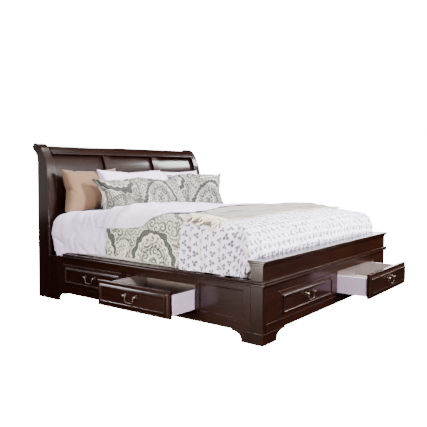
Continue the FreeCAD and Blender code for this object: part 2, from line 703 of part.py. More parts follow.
# ---- mattress and bedding ----
CLEAR = 0.4                  # space between one soft solid and the next
COVER_HALF_WIDTH = 1030.0
COVER_TOP_Z = 745.0
COVER_BOTTOM_Z = WAIST_TOP_Z + 1.0
COMFORTER_Y = (-450.0, 290.0)
COVERLET_Y = (-1071.0, -450.5)
SHEET_FOLD_Y = (0.0, 290.0)
SHEET_THICKNESS = 10.0


def cover(y_range, inner_half, inner_top, outer_half, outer_top, bottom, foot_y=None):
    """A bedcover: a top slab, a skirt down each side, and one at the foot if foot_y is given."""
    outside = block((-outer_half, outer_half), y_range, (bottom, outer_top))
    start_y = y_range[0] - 1.0 if foot_y is None else foot_y
    inside = block((-inner_half, inner_half), (start_y, y_range[1] + 1.0), (bottom - 1.0, inner_top))
    return outside.cut(inside)


def bedding():
    mattress_x = (-MATTRESS_HALF_WIDTH, MATTRESS_HALF_WIDTH)
    mattress = block(mattress_x, MATTRESS_Y, (MATTRESS_BOTTOM_Z + CLEAR, MATTRESS_TOP_Z))
    nodes["mattress"] = softened(mattress, 60.0, lambda e: along(e, "z"))
    inner_half = MATTRESS_HALF_WIDTH + CLEAR
    inner_top = MATTRESS_TOP_Z + CLEAR
    nodes["comforter"] = cover(
        COMFORTER_Y, inner_half, inner_top, COVER_HALF_WIDTH, COVER_TOP_Z, COVER_BOTTOM_Z
    )
    nodes["coverlet"] = cover(
        COVERLET_Y,
        inner_half,
        inner_top,
        COVER_HALF_WIDTH,
        COVER_TOP_Z,
        COVER_BOTTOM_Z,
        MATTRESS_Y[0] - CLEAR,
    )
    fold_drop = 70.0
    nodes["top_sheet"] = cover(
        SHEET_FOLD_Y,
        COVER_HALF_WIDTH + CLEAR,
        COVER_TOP_Z + CLEAR,
        COVER_HALF_WIDTH + SHEET_THICKNESS,
        COVER_TOP_Z + SHEET_THICKNESS,
        COVER_TOP_Z - fold_drop,
    )
    throw_outline = [
        (-970.0, -760.0),
        (-970.0, -500.0),
        (-600.0, -390.0),
        (-200.0, -290.0),
        (930.0, -340.0),
        (930.0, -770.0),
        (100.0, -800.0),
    ]
    nodes["throw"] = plate_in_xy(throw_outline, (COVER_TOP_Z + CLEAR, COVER_TOP_Z + 20.0))


def pillow(width, height, thickness, centre_x, front_y, lean, yaw):
    """A plain rounded block that stands on the mattress and leans towards the headboard."""
    shape = block((-width / 2, width / 2), (0.0, thickness), (0.0, height))
    shape = softened(shape, thickness * 0.3, lambda e: True)
    shape.rotate(vec(0, 0, 0), vec(1, 0, 0), -lean)
    shape.rotate(vec(0, 0, 0), vec(0, 0, 1), yaw)
    lowest = shape.BoundBox.ZMin
    shape.translate(vec(centre_x, front_y, MATTRESS_TOP_Z + CLEAR - lowest))
    return shape


def pillows():
    nodes["tan_pillow"] = pillow(600.0, 405.0, 90.0, -660.0, 852.0, 7.0, 0.0)
    nodes["white_pillows"] = group(
        [
            pillow(840.0, 400.0, 90.0, -180.0, 748.0, 9.0, 0.0),
            pillow(705.0, 405.0, 90.0, 605.0, 830.0, 9.0, 0.0),
        ]
    )
    nodes["paisley_shams"] = group(
        [
            pillow(940.0, 380.0, 70.0, -250.0, 590.0, 20.0, 0.0),
            pillow(700.0, 370.0, 70.0, 600.0, 640.0, 12.0, -16.0),
        ]
    )


headboard()
footboard()
waist_mouldings()
front_feet()
side_rails()
platform_frame()
slats()
drawer_case()
drawers()
bedding()
pillows()

os.makedirs("parts", exist_ok=True)
for node_name, node_shape in nodes.items():
    node_shape.exportStep("parts/" + node_name + ".step")
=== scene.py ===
import math

import bmesh
import bpy
import numpy as np
from mathutils import Matrix, Vector


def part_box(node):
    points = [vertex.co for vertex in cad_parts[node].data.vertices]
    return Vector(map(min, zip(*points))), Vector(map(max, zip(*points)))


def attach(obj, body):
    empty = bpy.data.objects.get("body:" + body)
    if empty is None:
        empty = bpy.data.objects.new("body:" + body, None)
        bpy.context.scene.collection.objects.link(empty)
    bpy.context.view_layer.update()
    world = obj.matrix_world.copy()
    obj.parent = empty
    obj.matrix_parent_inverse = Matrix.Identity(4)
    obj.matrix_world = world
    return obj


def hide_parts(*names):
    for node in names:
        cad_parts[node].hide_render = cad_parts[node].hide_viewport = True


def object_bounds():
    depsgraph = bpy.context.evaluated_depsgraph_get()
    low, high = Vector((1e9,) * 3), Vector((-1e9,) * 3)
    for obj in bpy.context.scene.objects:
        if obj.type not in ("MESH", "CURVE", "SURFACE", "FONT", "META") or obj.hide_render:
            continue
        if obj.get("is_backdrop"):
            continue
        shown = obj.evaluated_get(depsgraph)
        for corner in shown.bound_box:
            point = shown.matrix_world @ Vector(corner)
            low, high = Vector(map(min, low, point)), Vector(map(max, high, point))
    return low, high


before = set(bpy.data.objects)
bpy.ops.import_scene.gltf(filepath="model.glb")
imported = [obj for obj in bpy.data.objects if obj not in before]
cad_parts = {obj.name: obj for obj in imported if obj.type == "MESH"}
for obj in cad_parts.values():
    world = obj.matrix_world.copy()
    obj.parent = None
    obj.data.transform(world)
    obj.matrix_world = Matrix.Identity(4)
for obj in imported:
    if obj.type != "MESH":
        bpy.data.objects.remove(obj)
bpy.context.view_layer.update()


# ------------------------------------------------------------------ node helper
class Value:
    """A socket that can be used in ordinary arithmetic."""

    def __init__(self, tree, socket):
        self.tree, self.socket = tree, socket

    def math(self, operation, *others):
        return self.tree.math(operation, self, *others)

    def __add__(self, other):
        return self.math("ADD", other)

    __radd__ = __add__

    def __mul__(self, other):
        return self.math("MULTIPLY", other)

    __rmul__ = __mul__

    def __sub__(self, other):
        return self.math("SUBTRACT", other)

    def __rsub__(self, other):
        return self.tree.math("SUBTRACT", other, self)

    def __truediv__(self, other):
        return self.math("DIVIDE", other)

    def __lt__(self, other):
        return self.math("LESS_THAN", other)

    def __gt__(self, other):
        return self.math("GREATER_THAN", other)

    def floor(self):
        return self.math("FLOOR")

    def fract(self):
        return self.math("FRACT")

    def abs(self):
        return self.math("ABSOLUTE")

    def sin(self):
        return self.math("SINE")

    def cos(self):
        return self.math("COSINE")

    def step(self, low, high):
        """0 below low, 1 above high, smooth between."""
        node = self.tree.node("ShaderNodeMapRange", interpolation_type="SMOOTHSTEP")
        self.tree.feed(node, 0, self)
        node.inputs[1].default_value = low
        node.inputs[2].default_value = high
        return Value(self.tree, node.outputs[0])


class Tree:
    def __init__(self, name):
        self.material = bpy.data.materials.new(name)
        self.material.use_nodes = True
        self.nodes = self.material.node_tree.nodes
        self.links = self.material.node_tree.links
        self.shader = self.nodes["Principled BSDF"]

    def node(self, kind, **settings):
        node = self.nodes.new(kind)
        for key, value in settings.items():
            setattr(node, key, value)
        return node

    def feed(self, node, key, value):
        if isinstance(value, Value):
            self.links.new(value.socket, node.inputs[key])
        elif value is not None:
            node.inputs[key].default_value = value

    def math(self, operation, *values):
        node = self.node("ShaderNodeMath", operation=operation)
        for i, value in enumerate(values):
            self.feed(node, i, value)
        return Value(self, node.outputs[0])

    def coords(self, kind):
        return Value(self, self.node("ShaderNodeTexCoord").outputs[kind])

    def split(self, vector):
        node = self.node("ShaderNodeSeparateXYZ")
        self.feed(node, 0, vector)
        return [Value(self, node.outputs[i]) for i in range(3)]

    def join(self, x, y, z=0.0):
        node = self.node("ShaderNodeCombineXYZ")
        for i, value in enumerate((x, y, z)):
            self.feed(node, i, value)
        return Value(self, node.outputs[0])

    def stretch(self, vector, scale):
        node = self.node("ShaderNodeMapping")
        self.feed(node, 0, vector)
        node.inputs["Scale"].default_value = scale
        return Value(self, node.outputs[0])

    def noise(self, vector, scale, detail=3.0, rough=0.5, distortion=0.0, colour=False):
        node = self.node("ShaderNodeTexNoise")
        self.feed(node, "Vector", vector)
        node.inputs["Scale"].default_value = scale
        node.inputs["Detail"].default_value = detail
        node.inputs["Roughness"].default_value = rough
        node.inputs["Distortion"].default_value = distortion
        return Value(self, node.outputs["Color" if colour else "Fac"])

    def random(self, vector):
        node = self.node("ShaderNodeTexWhiteNoise", noise_dimensions="3D")
        self.feed(node, "Vector", vector)
        return Value(self, node.outputs["Value"])

    def mix(self, factor, a, b):
        node = self.node("ShaderNodeMix", data_type="RGBA")
        self.feed(node, 0, factor)
        self.feed(node, 6, a if isinstance(a, Value) else (*a, 1.0))
        self.feed(node, 7, b if isinstance(b, Value) else (*b, 1.0))
        return Value(self, node.outputs[2])

    def bump(self, height, distance, strength=1.0, normal=None):
        node = self.node("ShaderNodeBump")
        node.inputs["Strength"].default_value = strength
        node.inputs["Distance"].default_value = distance
        self.feed(node, "Height", height)
        self.feed(node, "Normal", normal)
        return Value(self, node.outputs[0])

    def finish(self, **inputs):
        for key, value in inputs.items():
            self.feed(self.shader, key.replace("_", " "), value)
        return self.material


def srgb(r, g, b):
    """A colour given as 0 to 255 values, made linear."""
    return tuple(((c / 255 + 0.055) / 1.055) ** 2.4 if c > 10 else c / 255 / 12.92
                 for c in (r, g, b))


# ------------------------------------------------------------------ materials
def wood(name, along, dark, mid, light, rough=0.4, coat=0.8, grain=1.0, inside=None):
    """Stained wood whose grain runs along one axis. inside is a colour of painted shade for a drawer box:
    everything but a thin band along the box's outer sides in x and y, the inner faces among it, is darkened
    towards it.
    """
    t = Tree(name)
    here = t.coords("Object")
    squeeze = [14.0, 14.0, 14.0]
    squeeze["XYZ".index(along)] = 0.9
    drawn = t.stretch(here, squeeze)
    warp = t.noise(t.stretch(here, [1.6 if a == along else 5.0 for a in "XYZ"]), 1.0, 2.0)
    bands = t.noise(drawn, 2.2, 5.0, 0.6, 0.9)
    fine = t.noise(t.stretch(here, [8.0 if a == along else 260.0 for a in "XYZ"]), 1.0, 3.0, 0.65)
    pores = t.noise(t.stretch(here, [30.0 if a == along else 700.0 for a in "XYZ"]), 1.0, 1.0)
    tone = (bands * 0.62 + warp * 0.38).step(0.32, 0.66)
    colour = t.mix(tone, dark, mid)
    colour = t.mix(fine.step(0.5, 0.78) * (0.55 * grain), colour, light)
    colour = t.mix(pores.step(0.62, 0.8) * (0.5 * grain), colour, tuple(c * 0.35 for c in dark))
    edge = t.node("ShaderNodeBevel", samples=4)
    edge.inputs["Radius"].default_value = 0.0022
    face = t.node("ShaderNodeNewGeometry")
    dot = t.node("ShaderNodeVectorMath", operation="DOT_PRODUCT")
    t.links.new(edge.outputs[0], dot.inputs[0])
    t.links.new(face.outputs["True Normal"], dot.inputs[1])
    # edges are lightened all round: partly wear, partly a painted highlight on every edge
    wear_and_highlight_edge = (1.0 - Value(t, dot.outputs["Value"])).step(0.01, 0.22)
    colour = t.mix(wear_and_highlight_edge * 0.4, colour, tuple(c * 2.2 + 0.02 for c in light))
    # painted shade: the inside of a drawer box is darkened
    if inside:
        across, deep, _ = [1.0 - (share * 2.0 - 1.0).abs() for share in t.split(t.coords("Generated"))]
        colour = t.mix(across.step(0.020, 0.028) * deep.step(0.020, 0.028) * 0.85, colour, inside)
    shine = t.noise(here, 9.0, 3.0)
    relief = t.bump(pores * 0.6 + fine, 0.0004, 0.35, Value(t, edge.outputs[0]))
    t.shader.inputs["Coat Weight"].default_value = coat
    t.shader.inputs["Coat Roughness"].default_value = 0.16
    t.shader.inputs["Coat IOR"].default_value = 1.5
    t.shader.inputs["Specular IOR Level"].default_value = 0.14
    return t.finish(Base_Color=colour, Roughness=shine * 0.16 + (rough - 0.08), Normal=relief,
                    Coat_Normal=Value(t, edge.outputs[0]))


DARK = (0.0045, 0.0005, 0.0001)
MID = (0.0110, 0.0021, 0.0002)
LIGHT = (0.0300, 0.0075, 0.0016)
frame_x = wood("frame_wood_x", "X", DARK, MID, LIGHT)
frame_y = wood("frame_wood_y", "Y", DARK, MID, LIGHT)
frame_z = wood("frame_wood_z", "Z", DARK, MID, LIGHT)
moulding = wood("moulding_wood", "Y", DARK, MID, LIGHT, coat=0.3)
CASE = (srgb(70, 52, 38), srgb(88, 68, 50), srgb(106, 84, 64), 0.55, 0.0)
pale_x = wood("case_wood_x", "X", *CASE)
pale_z = wood("case_wood_z", "Z", *CASE)
# the last colour is painted shade for the inside of the drawer boxes
LINING = (srgb(212, 190, 208), srgb(228, 206, 224), srgb(238, 222, 236), 0.5, 0.05, 0.5, srgb(140, 132, 117))
lining_x = wood("lining_x", "X", *LINING)
lining_y = wood("lining_y", "Y", *LINING)


def metal(name, bright, dull, rough):
    t = Tree(name)
    here = t.coords("Object")
    patina = t.noise(here, 90.0, 4.0, 0.6)
    speck = t.noise(here, 900.0, 2.0)
    rub = t.noise(here, 34.0, 2.0).step(0.42, 0.62)
    colour = t.mix(patina.step(0.38, 0.62), dull, bright)
    colour = t.mix(rub * 0.4, colour, bright)
    t.shader.inputs["Metallic"].default_value = 1.0
    relief = t.bump(speck + patina, 0.0005, 0.5)
    return t.finish(Base_Color=colour, Roughness=patina * 0.25 + rough, Normal=relief)


brass = metal("aged_brass", srgb(148, 140, 130), srgb(76, 66, 56), 0.2)
steel = metal("zinc_steel", srgb(178, 180, 184), srgb(128, 130, 134), 0.25)


def weave(t, u, v, pitch):
    """Over and under threads at the given pitch, from 0 to 1."""
    turn = 2 * math.pi / pitch
    return (u * turn).sin() * (v * turn).sin() * 0.5 + 0.5


def cloth(name, base, shadow, pitch=0.0012, slub=0.4, rough=0.88, sheen=0.25, hem=None):
    """A plain woven cloth with slubs, faint mottling and thread relief. hem colours a throw's foot edge, and
    also brings painted shadow: the throw's near end, under the fringe, is darkened to olive.
    """
    t = Tree(name)
    u, v, _ = t.split(t.coords("UV"))
    flat = t.join(u, v)
    threads = weave(t, u, v, pitch)
    across, along = [
        t.noise(t.stretch(flat, thin), 1.0, 2.0) for thin in ((12.0, 500.0, 1.0), (500.0, 12.0, 1.0))
    ]
    streaks = across + along
    mottling = t.noise(flat, 11.0, 3.0)
    crush = t.noise(flat, 34.0, 4.0, 0.6, 0.4)
    colour = t.mix((streaks - 0.8).step(0.0, 0.5) * slub + mottling.step(0.35, 0.7) * 0.18, base, shadow)
    if hem:
        colour = t.mix(1.0 - (v + t.noise(flat, 4.0, 1.0) * 0.05).step(-0.765, -0.725), colour, hem)
        # painted shadow: the throw's near end, under the fringe, is darkened to olive
        colour = t.mix((1.0 - u.step(-0.93, -0.87)) * 0.8, colour, srgb(84, 76, 48))  # the near end
    relief = t.bump(threads * 0.3 + streaks * 0.4, 0.0005, 0.4)
    relief = t.bump(crush, 0.006, 0.35, relief)
    t.shader.inputs["Sheen Weight"].default_value = sheen
    t.shader.inputs["Sheen Roughness"].default_value = 0.5
    t.shader.inputs["Specular IOR Level"].default_value = 0.2
    return t.finish(Base_Color=colour, Roughness=threads * 0.06 + rough - 0.03, Normal=relief)


CREAM = srgb(206, 203, 184)
PALE = srgb(216, 214, 203)
SAGE = srgb(122, 127, 110)
GREY_GREEN = srgb(82, 87, 78)
CHARCOAL = srgb(44, 46, 48)
# the colour of the painted shade on the shams
SHADE_OLIVE = srgb(22, 21, 10)


def paisley(name, centre, turn=0.0, depth=0.0):
    """A printed cloth: big scalloped teardrops in dark bands among small scrolls.

    centre is the place of one teardrop in UV metres, and depth is painted shade: it darkens the whole print
    towards olive, more in large blotches.
    """
    t = Tree(name)
    u0, v0, _ = t.split(t.coords("UV"))
    flat = t.join(u0, v0)
    wobble = t.noise(flat, 7.0, 2.0, colour=True)
    wx, wy, _ = t.split(wobble)
    u = u0 + (wx - 0.5) * 0.055
    v = v0 + (wy - 0.5) * 0.055

    def lattice(width, height, cu, cv):
        """Half-drop repeat: local coordinates in metres, and a random number for the cell."""
        column = ((u - cu) / width + 0.5).floor()
        shift = (column.abs() * 0.5).fract() * height
        row = ((v - cv + shift) / height + 0.5).floor()
        a = u - cu - column * width
        b = v - cv + shift - row * height
        return a, b, t.random(t.join(column, row, 3.0))

    def drop(a, b, size, lobes, bend):
        """Radius and angle of a teardrop with a scalloped edge, as a share of size."""
        a2 = a + (b * b) * bend
        angle = t.math("ARCTAN2", b, a2)
        radius = (a2 * a2 + b * b).math("SQRT")
        tip = angle.cos() * 0.28 + 1.0
        scallop = (angle * (lobes / 2)).sin().abs() * 0.07 + 0.93
        return radius / (tip * scallop * size), angle

    def ring(r, low, high):
        return (r > low) * (r < high)

    def scrolls(scale, turns, arms):
        """Little spirals, one to a cell."""
        cell = t.node("ShaderNodeTexVoronoi", voronoi_dimensions="2D")
        t.feed(cell, "Vector", t.join(u, v))
        cell.inputs["Scale"].default_value = scale
        x, y, _ = t.split(Value(t, cell.outputs["Position"]))
        away = Value(t, cell.outputs["Distance"])
        wind = t.math("ARCTAN2", v - y, u - x) * arms
        return ((away * (turns * 6.283) - wind).sin() * 0.5 + 0.5).step(0.38, 0.62)

    curls = scrolls(15.0, 2.4, 1.0)
    dots = scrolls(34.0, 1.6, 2.0)
    clouds = t.noise(flat, 9.0, 2.0).step(0.45, 0.6)

    colour = t.mix(curls, t.mix(dots * 0.5, PALE, SAGE), t.mix(clouds, SAGE, GREY_GREEN))

    a, b, pick = lattice(0.205, 0.25, centre[0] + 0.10, centre[1] + 0.07)
    r, angle = drop(a * -1.0, b, 0.086, 14, 4.0)
    inner = t.mix(curls, CREAM, t.mix(clouds, GREY_GREEN, SAGE))
    inner = t.mix(ring(r, 0.42, 0.74) * dots * 0.9, inner, PALE)
    inner = t.mix((r < 0.36) * curls, inner, SAGE)
    keep = pick > 0.15
    colour = t.mix((r < 1.0) * keep, colour, inner)
    colour = t.mix(ring(r, 1.0, 1.14) * keep * 0.8, colour, GREY_GREEN)
    colour = t.mix(ring(r, 0.86, 0.93) * keep * 0.85, colour, CHARCOAL)

    a, b, pick = lattice(0.50, 0.60, centre[0], centre[1])
    if turn:
        a, b = a * math.cos(turn) - b * math.sin(turn), a * math.sin(turn) + b * math.cos(turn)
    r, angle = drop(a, b, 0.178, 22, 1.4)
    field = t.mix(curls, t.mix(dots * 0.6, PALE, SAGE), GREY_GREEN)
    colour = t.mix(r < 1.0, colour, field)
    colour = t.mix(ring(r, 0.82, 0.98), colour, CREAM)
    colour = t.mix(ring(r, 0.85, 0.94) * ((angle * 26.0).sin() > 0.0) * 0.9, colour, GREY_GREEN)
    colour = t.mix(ring(r, 0.98, 1.03) * 0.9, colour, PALE)
    wide = r * (1.0 - (t.noise(flat, 6.0, 1.0) - 0.5) * 0.22)
    colour = t.mix((r > 1.03) * (wide < 1.27), colour, t.mix(dots * 0.3, CHARCOAL, SAGE))
    colour = t.mix(ring(wide, 1.27, 1.32) * 0.85, colour, PALE)
    colour = t.mix(ring(r, 0.56, 0.62) * 0.8, colour, CHARCOAL)
    colour = t.mix(ring(r, 0.24, 0.29) * 0.8, colour, CHARCOAL)
    colour = t.mix(ring(r, 0.29, 0.38), colour, CREAM)
    colour = t.mix((r < 0.13) * 0.9, colour, GREY_GREEN)

    threads = weave(t, u0, v0, 0.0012)
    quilting = t.noise(flat, 16.0, 3.0, 0.5, 0.3)
    colour = t.mix(t.noise(flat, 240.0, 2.0) * 0.22, colour, GREY_GREEN)
    # painted shade: the print is darkened towards olive, more in large blotches
    if depth:
        colour = t.mix(t.noise(flat, 5.0, 2.0).step(0.3, 0.7) * depth + 0.5 * depth, colour, SHADE_OLIVE)
    relief = t.bump(threads, 0.0004, 0.3)
    relief = t.bump(quilting, 0.010, 0.45, relief)
    t.shader.inputs["Sheen Weight"].default_value = 0.2
    t.shader.inputs["Specular IOR Level"].default_value = 0.2
    return t.finish(Base_Color=colour, Roughness=threads * 0.06 + 0.84, Normal=relief)


def sprigs(name):
    """A white printed cloth with small grey flowers in staggered rows."""
    t = Tree(name)
    u, v, _ = t.split(t.coords("UV"))
    flat = t.join(u, v)
    pitch_u, pitch_v = 0.062, 0.050
    row = (v / pitch_v).floor()
    slide = (row.abs() * 0.5).fract() * pitch_u
    column = ((u + slide) / pitch_u).floor()
    spin = t.random(t.join(column, row, 1.0))
    jog = t.random(t.join(column, row, 2.0))
    a = (u + slide) - (column + 0.5) * pitch_u + (jog - 0.5) * 0.008
    b = v - (row + 0.5) * pitch_v + (spin - 0.5) * 0.008
    radius = (a * a + b * b).math("SQRT")
    angle = t.math("ARCTAN2", b, a) + spin * 6.28
    petal = ((angle * 1.5).cos().abs() * 0.0165 + 0.005) * (jog * 0.5 + 0.75)
    flower = 1.0 - (radius - petal).step(-0.0015, 0.0015)
    heart = 1.0 - radius.step(0.002, 0.0045)
    ink = t.mix(spin, srgb(60, 63, 76), srgb(96, 97, 111))
    ground = t.mix(t.noise(flat, 7.0, 3.0).step(0.35, 0.7) * 0.35, srgb(224, 218, 236), srgb(200, 194, 222))
    colour = t.mix(flower * 0.92, ground, ink)
    colour = t.mix(heart * 0.7, colour, srgb(232, 228, 214))
    threads = weave(t, u, v, 0.0012)
    quilting = t.noise(flat, 20.0, 3.0, 0.55, 0.4)
    relief = t.bump(threads, 0.0004, 0.3)
    relief = t.bump(quilting, 0.008, 0.4, relief)
    t.shader.inputs["Sheen Weight"].default_value = 0.2
    t.shader.inputs["Specular IOR Level"].default_value = 0.2
    return t.finish(Base_Color=colour, Roughness=threads * 0.06 + 0.84, Normal=relief)


white = cloth("white_cotton", srgb(226, 211, 240), srgb(202, 187, 222))
taupe = cloth("taupe_throw", srgb(108, 92, 73), srgb(82, 70, 53), 0.004, 0.7, 0.95, 0.4, srgb(172, 160, 143))
cream = cloth("cream_fringe", srgb(226, 216, 188), srgb(196, 184, 150), 0.003, 0.5, 0.95, 0.5)
tan = cloth("tan_cotton", srgb(118, 92, 69), srgb(100, 77, 55))
ticking = cloth("mattress_ticking", srgb(232, 230, 228), srgb(208, 208, 210), 0.002)
paisley_cover = paisley("paisley_print", (-1.325, -0.225))
# the shams get painted shade
paisley_sham = paisley("paisley_sham_print", (0.12, 0.10), 0.9, 0.50)
sprig_cover = sprigs("sprig_print")


# ------------------------------------------------------------------ CAD nodes
def dress(node, material):
    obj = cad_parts[node]
    obj.data.materials.clear()
    obj.data.materials.append(material)


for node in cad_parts:
    if node.endswith("_bail") or node.endswith("_handle_posts"):
        dress(node, brass)
    elif node.endswith("_box"):
        dress(node, lining_x if node.startswith("footboard") else lining_y)
    elif node.startswith("footboard") or node in ("crest_rail", "crest_bead", "headboard_bottom_rail"):
        dress(node, frame_x)
    elif node.endswith("_front") or node.endswith("_rail") or node.endswith("side_panel"):
        dress(node, frame_y)
    elif node == "waist_mouldings":
        dress(node, moulding)
    elif node == "slats":
        dress(node, pale_x)
    elif node in ("platform_frame", "drawer_case_panels"):
        dress(node, pale_z)
    elif node == "drawer_runners":
        dress(node, steel)
    else:
        dress(node, frame_z)


# ------------------------------------------------------------------ bedding surface
def hashed(ix, iy, seed):
    """A number from 0 to 1 for each cell of a grid."""
    n = (ix.astype(np.int64) * 374761393 + iy.astype(np.int64) * 668265263 + seed * 2147483647) & 0xFFFFFFFF
    n = ((n ^ (n >> 13)) * 1274126177) & 0xFFFFFFFF
    return ((n ^ (n >> 16)) & 0xFFFF) / 65535.0


def ripple(x, y, seed):
    """Smooth noise from -1 to 1, one bump per unit."""
    x, y = np.broadcast_arrays(np.asarray(x, float), np.asarray(y, float))
    ix, iy = np.floor(x), np.floor(y)
    fx, fy = x - ix, y - iy
    sx, sy = [f * f * f * (f * (f * 6 - 15) + 10) for f in (fx, fy)]

    def corner(dx, dy):
        angle = hashed(ix + dx, iy + dy, seed) * 2 * np.pi
        return np.cos(angle) * (fx - dx) + np.sin(angle) * (fy - dy)

    low = corner(0, 0) * (1 - sx) + corner(1, 0) * sx
    high = corner(0, 1) * (1 - sx) + corner(1, 1) * sx
    return 1.5 * (low * (1 - sy) + high * sy)


def ease(x, low, high):
    """0 below low, 1 above high, smooth between."""
    t = np.clip((x - low) / (high - low), 0, 1)
    return t * t * (3 - 2 * t)


SIDE_START = 0.905           # half width of the nearly flat top
SIDE_ROUND = 0.105           # radius where the bedding turns down
FOOT_START = -0.925
FOOT_ROUND = 0.145
HEAD_START = 0.905
HEAD_ROUND = 0.085
SIDE_HANG = 0.405            # cloth from where the top starts to turn to the hem
FOOT_HANG = 0.300
HEAD_HANG = 0.405
RAIL_REACH = 1.066           # how far out a hem may lie on a side rail

RAIL_TOP = 0.4195            # where a hem comes to rest on the side rails
TOP_PEAK = (0.10, 0.796)     # the highest line of the covers: its place along the bed, and its height
TOP_GRADE = 0.07             # the fall of the covers from there to either end, as a slope
TOP_EASE = 0.20              # length over which that slope sets in
FOOT_DIP = (-0.64, 0.20)     # where the covers start to fall faster to the foot, and how strongly


def top_height(x, y):
    """Height of the covers over the mattress."""
    ridge = TOP_PEAK[1] - TOP_GRADE * (np.hypot(y - TOP_PEAK[0], TOP_EASE) - TOP_EASE)
    dip = FOOT_DIP[1] * np.maximum(FOOT_DIP[0] - y, 0) ** 2
    crown = 0.012 * (1 - np.clip(np.abs(x) / 0.93, 0, 1) ** 2.6)
    hollow = 0.058 * ease(x, -0.5, 0.45) * ease(y, -0.42, 0.12)
    waves = 0.008 * ripple(x / 0.34, y / 0.30, 5) + 0.004 * ripple(x / 0.13 + 7, y / 0.16, 6)
    return ridge - dip + crown - hollow + waves


def laid(p, q):
    """Where a point of flat cloth comes to lie. p runs across the bed and q along it.

    Gives the points, how far down the hang each one is, and how much of that is over the side.
    """
    side = np.where(p < 0, -1.0, 1.0)
    across = np.maximum(np.abs(p) - SIDE_START, 0)
    foot = np.maximum(FOOT_START - q, 0)
    head = np.maximum(q - HEAD_START, 0)
    end = foot + head
    end_sign = np.where(foot > 0, -1.0, 1.0)
    end_hang = np.where(foot > 0, FOOT_HANG, HEAD_HANG)
    end_round = np.where(foot > 0, FOOT_ROUND, HEAD_ROUND)
    su, sv = across / SIDE_HANG, end / end_hang
    share = np.maximum(su, sv)
    angle = np.arctan2(sv, su)
    cos, sin = np.cos(angle), np.sin(angle)
    hang = SIDE_HANG * cos**2 + end_hang * sin**2
    rounding = SIDE_ROUND * cos**2 + end_round * sin**2
    d = share * hang
    bend = np.minimum(d / rounding, np.pi / 2)
    straight = np.maximum(d - rounding * np.pi / 2, 0)
    reach = rounding * np.sin(bend) + straight * (0.085 * cos**2 - 0.06 * sin**2)
    fall = rounding * (1 - np.cos(bend)) + straight
    x0 = side * np.minimum(np.abs(p), SIDE_START)
    y0 = np.clip(q, FOOT_START, HEAD_START)
    reach = reach * np.where((p > 0) & (foot > 0), 1 + 0.24 * (2 * cos * sin) ** 2, 1)
    x = x0 + side * cos * reach
    y = y0 + end_sign * sin * reach
    z = top_height(x0, y0) - fall
    z = np.maximum(z, RAIL_TOP + 0.004 * (1 - share))
    return np.stack([x, y, z], -1), d, cos


def normals(points):
    du = np.gradient(points, axis=0)
    dv = np.gradient(points, axis=1)
    n = np.cross(du, dv)
    n /= np.maximum(np.linalg.norm(n, axis=-1, keepdims=True), 1e-9)
    return n * np.where(n[..., 2:].sum() < 0, -1.0, 1.0)


def quads(index):
    """The four corners of every cell in a grid of vertex numbers."""
    return np.stack([index[:-1, :-1], index[1:, :-1], index[1:, 1:], index[:-1, 1:]], -1).reshape(-1, 4)


def new_object(name, verts, faces, uv, material):
    """A mesh object in the scene, with one UV pair for each vertex."""
    mesh = bpy.data.meshes.new(name)
    mesh.from_pydata(verts.tolist(), [], faces)
    mesh.materials.append(material)
    corners = np.zeros(len(mesh.loops), np.int32)
    mesh.loops.foreach_get("vertex_index", corners)
    mesh.uv_layers.new(name="flat").data.foreach_set("uv", uv[corners].astype(np.float32).ravel())
    obj = bpy.data.objects.new(name, mesh)
    bpy.context.collection.objects.link(obj)
    return obj


def shade_smooth(obj):
    for face in obj.data.polygons:
        face.use_smooth = True


def refine(obj):
    """One step of subdivision, made final."""
    fine = obj.modifiers.new("smooth", "SUBSURF")
    fine.levels = fine.render_levels = 1
    freeze(obj)
    shade_smooth(obj)


def cloth_mesh(name, points, p, q, thickness, material):
    """A grid of points as one sheet with thickness and UVs in metres of flat cloth."""
    rows, columns = points.shape[:2]
    index = np.arange(rows * columns).reshape(rows, columns)
    flat = np.stack([p.ravel(), q.ravel()], -1)
    obj = new_object(name, points.reshape(-1, 3), quads(index).tolist(), flat, material)
    solid = obj.modifiers.new("thickness", "SOLIDIFY")
    solid.thickness = thickness
    solid.offset = -1.0 if up_facing(points) else 1.0
    refine(obj)
    return obj


def up_facing(points):
    i, j = points.shape[0] // 2, points.shape[1] // 2
    return np.cross(points[i + 1, j] - points[i, j], points[i, j + 1] - points[i, j])[2] > 0


def freeze(obj):
    """Apply every modifier."""
    graph = bpy.context.evaluated_depsgraph_get()
    graph.update()
    mesh = bpy.data.meshes.new_from_object(obj.evaluated_get(graph), depsgraph=graph)
    old = obj.data
    obj.modifiers.clear()
    obj.data = mesh
    bpy.data.meshes.remove(old)


STEP = 0.012


def cover_grid(foot, head):
    """Flat cloth the full width of the covers, hangs included, from foot to head."""
    half = SIDE_START + SIDE_HANG
    spans = (-half, half), (foot, head)
    p, q = [np.linspace(low, high, int(round((high - low) / STEP)) + 1) for low, high in spans]
    return np.meshgrid(p, q, indexing="ij")


def strip_grid(left, right, width, depth):
    """Places across the bed, and shares from the head edge to the foot edge of a loose cloth."""
    across, share = np.linspace(left, right, int(width / STEP)), np.linspace(0, 1, int(depth / STEP))
    return np.meshgrid(across, share, indexing="ij")


def inside_rails(points):
    """Keep hems on top of the side rails."""
    reach = RAIL_REACH + 0.6 * (points[..., 2] - RAIL_TOP)
    points[..., 0] = np.clip(points[..., 0], -reach, reach)
    return points


def spread(p, q, lift, folds):
    """Points of a cover laid on the bed, lifted by lift and folded by folds(p, q, drop, side share)."""
    points, drop, side_share = laid(p, q)
    n = normals(points)
    points = points + n * (lift + folds(p, q, drop, side_share))[..., None]
    points[..., 2] = np.maximum(points[..., 2], RAIL_TOP)
    return inside_rails(points)


